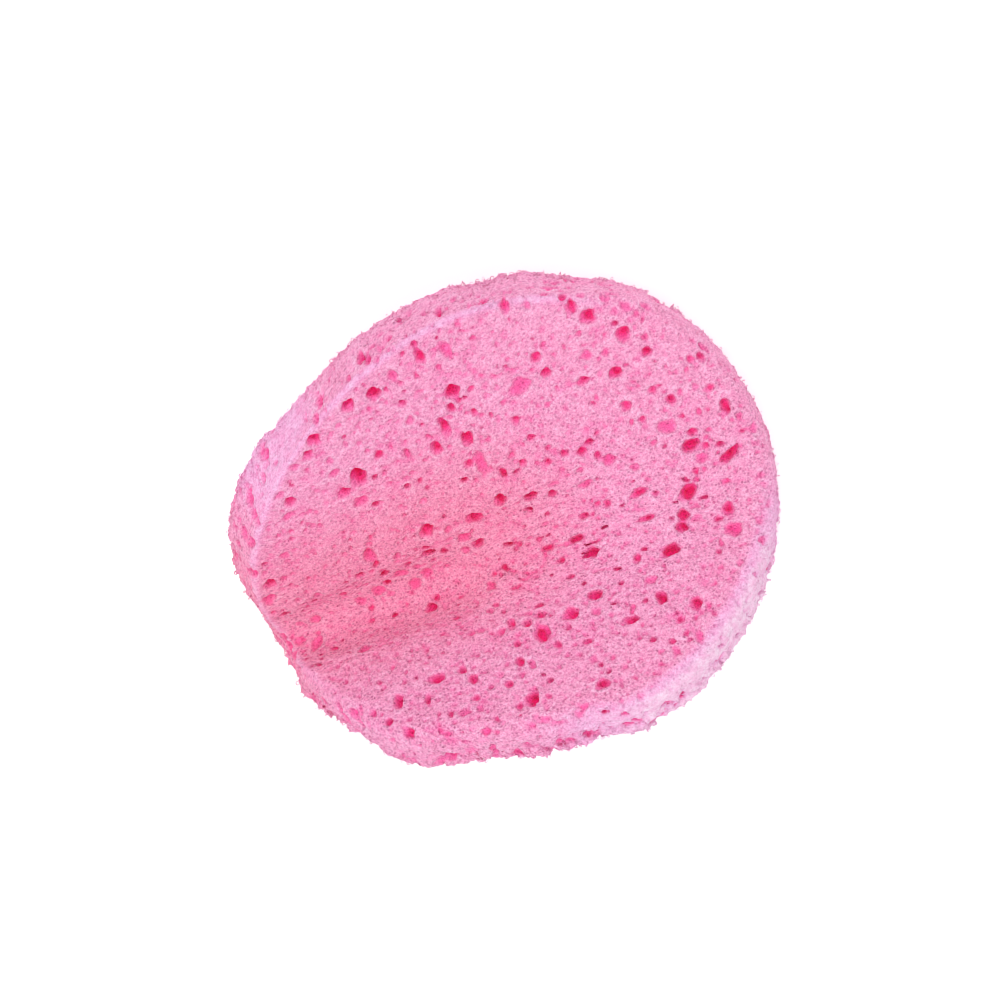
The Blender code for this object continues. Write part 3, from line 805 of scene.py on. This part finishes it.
def foam_mesh():
    """The folded sponge's mesh, and its points on the flat pad."""
    foam = foam_volume()
    volume = openvdb.FloatGrid(1.0)
    volume.copyFromArray(foam["distance"])
    points, quads = volume.convertToQuads(isovalue=0.0)
    flat, quads = main_piece(points * GRID + LOW_CORNER, quads.astype(np.int64))
    mesh = placed_mesh("sponge_foam", flat, quads)
    depth = -slice_distance(*flat.T)
    bubble = sampled(foam["bubble"], flat)
    lip = smoothstep(*LIP_REACH, bubble) * (1 - smoothstep(*LIP_DEPTHS, depth))
    store_looks(mesh, flat, depth, lip)
    bake_map(mesh, flat, quads)
    return mesh, flat


def wisp(rng, root):
    """Points of a thin arched tube on the flat pad's edge, rooted in the foam at both ends."""
    outward = np.array((root[0], root[1], 0)) / hypot(root[0], root[1])
    lift = np.array((0, 0, np.sign(root[2] - THICKNESS / 2)))
    stand = mix(outward, lift, rng.uniform(0, WISP_LEAN))
    run = rng.normal(size=3)
    run -= stand * run.dot(stand)
    run /= np.linalg.norm(run)
    aside = np.cross(run, stand)
    fringe = on_side(direction_of(root[0], root[1]), FRINGE_SIDE)
    length = rng.uniform(*WISP_LENGTHS) * (1 + FRINGE_LENGTH * fringe)
    arch = WISP_ARCH + WISP_ARCH_SPREAD * rng.random() ** WISP_ARCH_BIAS
    arch *= 1 + FRINGE_RISE * fringe
    bend = rng.uniform(-WISP_BEND, WISP_BEND)
    share = np.linspace(0, 1, WISP_SEGMENTS + 1)[:, None]
    humped = 4 * share * (1 - share)
    line = root - WISP_SINK * stand + run * length * (share - 0.5) + stand * arch * humped
    line = line + aside * bend * np.sin(2 * pi * share)
    rings = []
    for side in range(WISP_SIDES):
        angle = 2 * pi * side / WISP_SIDES
        rings.append(line + WISP_RADIUS * (cos(angle) * stand + sin(angle) * aside))
    return np.stack(rings, axis=1).reshape(-1, 3)


def wisp_mesh(flat):
    """Wisps of foam all along the edge."""
    rng = np.random.default_rng(WISP_SEED)
    radius = np.hypot(flat[:, 0], flat[:, 1])
    near = radius > plan_radius(direction_of(flat[:, 0], flat[:, 1])) - WISP_BAND
    roots = flat[near & (-slice_distance(*flat.T) < WISP_ROOT_DEPTH)]
    crowd = np.where(roots[:, 2] < CALM_HEIGHT, 1, CALM_WISPS)
    chosen = roots[rng.choice(len(roots), WISPS, replace=False, p=crowd / crowd.sum())]
    points = np.concatenate([wisp(rng, root) for root in chosen])
    corner = np.arange(WISP_SIDES)
    after = (corner + 1) % WISP_SIDES
    band = np.stack([corner, after, after + WISP_SIDES, corner + WISP_SIDES], axis=1)
    tube = (band[None] + WISP_SIDES * np.arange(WISP_SEGMENTS)[:, None, None]).reshape(-1, 4)
    wisp_points = WISP_SIDES * (WISP_SEGMENTS + 1)
    quads = (tube[None] + wisp_points * np.arange(WISPS)[:, None, None]).reshape(-1, 4)
    mesh = placed_mesh("edge_wisps", points, quads)
    on_surface = np.zeros(len(points))
    store_looks(mesh, points, on_surface, on_surface)
    return mesh


# Painted shade and glow of the pores: colours of the foam by how deep in it a place lies, in millimetres,
# darker and deeper pink further in where light is shaded and scattered
PORE_SHADE_COLOURS = (
    (0.06, (0.88, 0.332, 0.55)),
    (0.25, (0.88, 0.25, 0.485)),
    (0.55, (0.90, 0.155, 0.405)),
    (1.1, (0.94, 0.065, 0.315)),
    (1.9, (0.96, 0.03, 0.255)),
)
DEEPEST = 4.0
# Colours of the painted rim light, sheen and ridge highlight by how strong it is
RIM_LIGHT_COLOURS = (
    (0.3, (0.875, 0.37, 0.635)),
    (0.65, (0.88, 0.45, 0.70)),
    (1.0, (0.905, 0.58, 0.76)),
)
# How the mottle varies the painted rim light: the least share of it, and what is added. The rim light's
# colours take over from those by depth between the ends of the onset.
MOTTLED_RIM_LIGHT = (0.7, 0.4)
RIM_LIGHT_ONSET = (0.0, 0.4)
# The colour of pores' lips and how much of it they take, and what the foam is multiplied by
# where the fingers' painted warm reflection and shade are strongest
LIP_COLOUR = (0.87, 0.48, 0.68)
LIP_STRENGTH = 0.27
FINGER_SHADING_COLOUR = (0.99, 0.80, 0.78)
# The noise of the fine fibres, and that of the broad mottle
FIBRE_NOISE = {"Scale": 3.4, "Detail": 2.0, "Roughness": 0.6, "Distortion": 0.8}
MOTTLE_NOISE = {"Scale": 0.8, "Detail": 2.0}
# What the speckles multiply the colour by: in the dips, painted shade of tiny holes, between, and on the
# fibres, their own paler tone
SPECKLE_COLOURS = (
    (0.34, (0.80, 0.66, 0.76)),
    (0.50, (1.0, 1.0, 1.0)),
    (0.66, (1.08, 1.40, 1.25)),
)
MOTTLE_COLOURS = (
    (0.35, (0.99, 0.92, 0.95)),
    (0.65, (1.01, 1.09, 1.05)),
)
# Where the painted rim light is strongest, the foam has this much less of the speckles and dots
RIM_LIGHT_CALM = 0.6
# Small cells between the fibres, painted shade of tiny holes, most greyish and a few dark: their scale, the
# distances that they fade between, and their rareness
GREY_DOTS = (2.0, (0.08, 0.55), 0.8)
DARK_DOTS = (1.7, (0.10, 0.30), 5.0)
HOLE_SHADE_COLOUR = (0.71, 0.58, 0.65)
DARK_HOLE_SHADE_COLOUR = (0.55, 0.33, 0.43)
# The dots are stronger below the first place along Y than above the second
DOTTED_FROM = (0.0, 22.0)
DOT_STRENGTHS = (1.35, 0.9)
# How deep the dots dent the surface beside the fibres' height, and the bump of both in metres
DOT_DENT = 0.5
BUMP = {"Strength": 0.7, "Distance": 0.00025}
FOAM_SURFACE = {
    "Roughness": 0.9,
    "Specular IOR Level": 0.15,
    "Sheen Weight": 0.15,
    "Sheen Roughness": 0.5,
    "Sheen Tint": (0.95, 0.88, 1.0, 1),
}


class Nodes:
    """Short ways to add and link a material's nodes."""

    def __init__(self, material):
        material.use_nodes = True
        self.tree = material.node_tree
        self.shader = self.tree.nodes["Principled BSDF"]

    def add(self, kind, inputs=(), **settings):
        """A node with settings, and its inputs linked or set."""
        made = self.tree.nodes.new(kind)
        for name, value in settings.items():
            setattr(made, name, value)
        for name, value in dict(inputs).items():
            self.put(made.inputs[name], value)
        return made

    def read(self, name, output="Fac"):
        """What the mesh keeps under a name."""
        return self.add("ShaderNodeAttribute", attribute_name=name).outputs[output]

    def put(self, socket, value):
        """Link an output to a socket, or set the socket."""
        if isinstance(value, bpy.types.NodeSocket):
            self.tree.links.new(value, socket)
        else:
            socket.default_value = value

    def math(self, operation, *values):
        """The result of a calculation."""
        made = self.tree.nodes.new("ShaderNodeMath")
        made.operation = operation
        for socket, value in zip(made.inputs, values):
            self.put(socket, value)
        return made.outputs[0]

    def ramp(self, factor, stops):
        """A colour read off a ramp of (position, colour) stops."""
        made = self.add("ShaderNodeValToRGB", {"Fac": factor})
        elements = made.color_ramp.elements
        while len(elements) < len(stops):
            elements.new(0.5)
        for element, (position, colour) in zip(elements, stops):
            element.position = position
            element.color = (*colour, 1)
        return made.outputs["Color"]

    def dots(self, place, scale, edge, rareness):
        """Round dots, 1 in their middles, fading between the edge distances, of mixed strength."""
        cells = self.add("ShaderNodeTexVoronoi", {"Vector": place, "Scale": scale})
        strength = self.add("ShaderNodeSeparateColor", {"Color": cells.outputs["Color"]}).outputs[0]
        spot = self.between(cells.outputs["Distance"], edge, (1.0, 0.0))
        return self.math("MULTIPLY", spot, self.math("POWER", strength, rareness))

    def between(self, value, reach, ends):
        """A value carried from its reach to the ends, and not beyond them."""
        limits = {"From Min": reach[0], "From Max": reach[1], "To Min": ends[0], "To Max": ends[1]}
        return self.add("ShaderNodeMapRange", {"Value": value, **limits}).outputs["Result"]

    def blend(self, kind, factor, first, second):
        """Two colours blended."""
        made = self.add("ShaderNodeMix", data_type="RGBA", blend_type=kind)
        for name, value in (("Factor", factor), ("A", first), ("B", second)):
            socket = next(s for s in made.inputs if s.name == name and s.enabled)
            self.put(socket, value)
        return next(s for s in made.outputs if s.enabled)

    def surface(self, settings):
        """Set inputs of the shader by their names."""
        for name, value in settings.items():
            self.put(self.shader.inputs[name], value)


def foam_material():
    """Pink foam: painted shade and glow deepen its pores' pink, painted sheen and highlight lighten its rim
    and ridge, its lips are paler, its speckles hold painted shade of tiny holes, and painted reflection and
    shade of the fingers warm it by the pinch.
    """
    material = bpy.data.materials.new("pink_foam")
    nodes = Nodes(material)
    flat = nodes.read("flat", "Vector")
    depth, pale, lip, finger_shading = (nodes.read(name) for name in ("depth", "pale", "lip", "finger_shading"))

    fibres = nodes.add("ShaderNodeTexNoise", {"Vector": flat, **FIBRE_NOISE}).outputs["Fac"]
    mottle = nodes.add("ShaderNodeTexNoise", {"Vector": flat, **MOTTLE_NOISE}).outputs["Fac"]
    plain = nodes.math("SUBTRACT", 1.0, nodes.math("MULTIPLY", pale, RIM_LIGHT_CALM))
    along = nodes.add("ShaderNodeSeparateXYZ", {"Vector": flat}).outputs["Y"]
    dotted = nodes.math("MULTIPLY", plain, nodes.between(along, DOTTED_FROM, DOT_STRENGTHS))
    dots = nodes.math("MULTIPLY", nodes.dots(flat, *GREY_DOTS), dotted)
    dark_dots = nodes.math("MULTIPLY", nodes.dots(flat, *DARK_DOTS), dotted)

    # Painted shade and scattered glow: the colour darkens and deepens in pink with depth in the pores
    deepness = nodes.math("DIVIDE", depth, DEEPEST)
    stops = [(millimetres / DEEPEST, colour) for millimetres, colour in PORE_SHADE_COLOURS]
    colour = nodes.ramp(deepness, stops)
    # Painted rim light, sheen and ridge highlight, mottled, take over from the colours by depth
    varied = nodes.math("ADD", MOTTLED_RIM_LIGHT[0], nodes.math("MULTIPLY", mottle, MOTTLED_RIM_LIGHT[1]))
    uneven_rim_light = nodes.math("MULTIPLY", pale, varied)
    rim_light_share = nodes.between(uneven_rim_light, RIM_LIGHT_ONSET, (0.0, 1.0))
    colour = nodes.blend("MIX", rim_light_share, colour, nodes.ramp(uneven_rim_light, RIM_LIGHT_COLOURS))
    colour = nodes.blend("MIX", nodes.math("MULTIPLY", lip, LIP_STRENGTH), colour, (*LIP_COLOUR, 1))
    colour = nodes.blend("MULTIPLY", 1.0, colour, nodes.ramp(mottle, MOTTLE_COLOURS))
    # Painted warm reflection and shade of the pinching fingers
    colour = nodes.blend("MULTIPLY", finger_shading, colour, (*FINGER_SHADING_COLOUR, 1))
    # Speckles and dots: painted shade of tiny holes, and the fibres' own paler tone
    colour = nodes.blend("MULTIPLY", plain, colour, nodes.ramp(fibres, SPECKLE_COLOURS))
    colour = nodes.blend("MULTIPLY", dots, colour, (*HOLE_SHADE_COLOUR, 1))
    colour = nodes.blend("MULTIPLY", dark_dots, colour, (*DARK_HOLE_SHADE_COLOUR, 1))

    height = nodes.math("SUBTRACT", fibres, nodes.math("MULTIPLY", dots, DOT_DENT))
    bump = nodes.add("ShaderNodeBump", {"Height": height, **BUMP})
    nodes.surface({"Base Color": colour, "Normal": bump.outputs["Normal"], **FOAM_SURFACE})
    return material


def dressed(mesh, material):
    """An object of a mesh in the foam's material, riding on the part."""
    mesh.materials.append(material)
    piece = bpy.data.objects.new(mesh.name, mesh)
    bpy.context.scene.collection.objects.link(piece)
    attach(piece, "root")
    return piece


def sponge():
    """The sponge itself, in place of the CAD solid, and the wisps along its edge."""
    material = foam_material()
    mesh, flat = foam_mesh()
    foam = dressed(mesh, material)
    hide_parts("sponge")
    dressed(wisp_mesh(flat), material)


# The camera, in the fold's own frame: looking at the fold's origin
CAMERA_DISTANCE = 300.0
CAMERA_ROLL = 20
CAMERA_YAW = -9.6
CAMERA_LENS = 70.96
CAMERA_SHIFT = (-0.0059, 0.0203)


def camera():
    """The camera at the photograph's viewing angle."""
    turn = Matrix.Rotation(radians(CAMERA_ROLL), 4, "Z") @ Matrix.Rotation(radians(CAMERA_YAW), 4, "Y")
    back = turn.inverted() @ Matrix.Translation((0, 0, CAMERA_DISTANCE))
    data = bpy.data.cameras.new("camera")
    data.lens = CAMERA_LENS
    data.shift_x, data.shift_y = CAMERA_SHIFT
    eye = bpy.data.objects.new("camera", data)
    place = resting() @ back
    place.translation *= METRES
    eye.matrix_world = place
    bpy.context.scene.collection.objects.link(eye)
    bpy.context.scene.camera = eye


# The studio, in metres and watts
FLOOR_HALF = 3.0
FLOOR_SURFACE = {
    "Base Color": (0.98, 0.98, 0.98, 1),
    "Roughness": 0.8,
    "Specular IOR Level": 0.0,
    "Emission Color": (1, 1, 1, 1),
    "Emission Strength": 0.2,
}
WORLD_STRENGTH = 0.77
KEY_PLACE = (0.18, 0.32, 0.62)
KEY_POWER = 1.48
FILL_PLACE = (-0.22, -0.26, 0.52)
FILL_POWER = 1.18
LIGHT_SIZE = 0.3
BOUNCES = 8
PIXEL_FILTER = 1.0


def area_light(name, place, size, power):
    """A square soft light that shines at the sponge."""
    data = bpy.data.lights.new(name, "AREA")
    data.size = size
    data.energy = power
    light = bpy.data.objects.new(name, data)
    light.location = place
    light.rotation_euler = (-Vector(place)).to_track_quat("-Z", "Y").to_euler()
    bpy.context.scene.collection.objects.link(light)


def studio():
    """A pale floor and soft light from all round."""
    mesh = bpy.data.meshes.new("floor")
    half = FLOOR_HALF
    corners = [(-half, -half, 0), (half, -half, 0), (half, half, 0), (-half, half, 0)]
    mesh.from_pydata(corners, [], [(0, 1, 2, 3)])
    floor = bpy.data.objects.new("floor", mesh)
    bpy.context.scene.collection.objects.link(floor)
    material = bpy.data.materials.new("pale_floor")
    Nodes(material).surface(FLOOR_SURFACE)
    mesh.materials.append(material)
    world = bpy.data.worlds.new("studio")
    world.use_nodes = True
    background = world.node_tree.nodes["Background"]
    background.inputs["Color"].default_value = (1, 1, 1, 1)
    background.inputs["Strength"].default_value = WORLD_STRENGTH
    bpy.context.scene.world = world
    area_light("key", KEY_PLACE, LIGHT_SIZE, KEY_POWER)
    area_light("fill", FILL_PLACE, LIGHT_SIZE, FILL_POWER)
    bpy.context.scene.view_settings.view_transform = "Standard"
    bpy.context.scene.cycles.diffuse_bounces = BOUNCES
    bpy.context.scene.cycles.filter_width = PIXEL_FILTER


sponge()
camera()
studio()
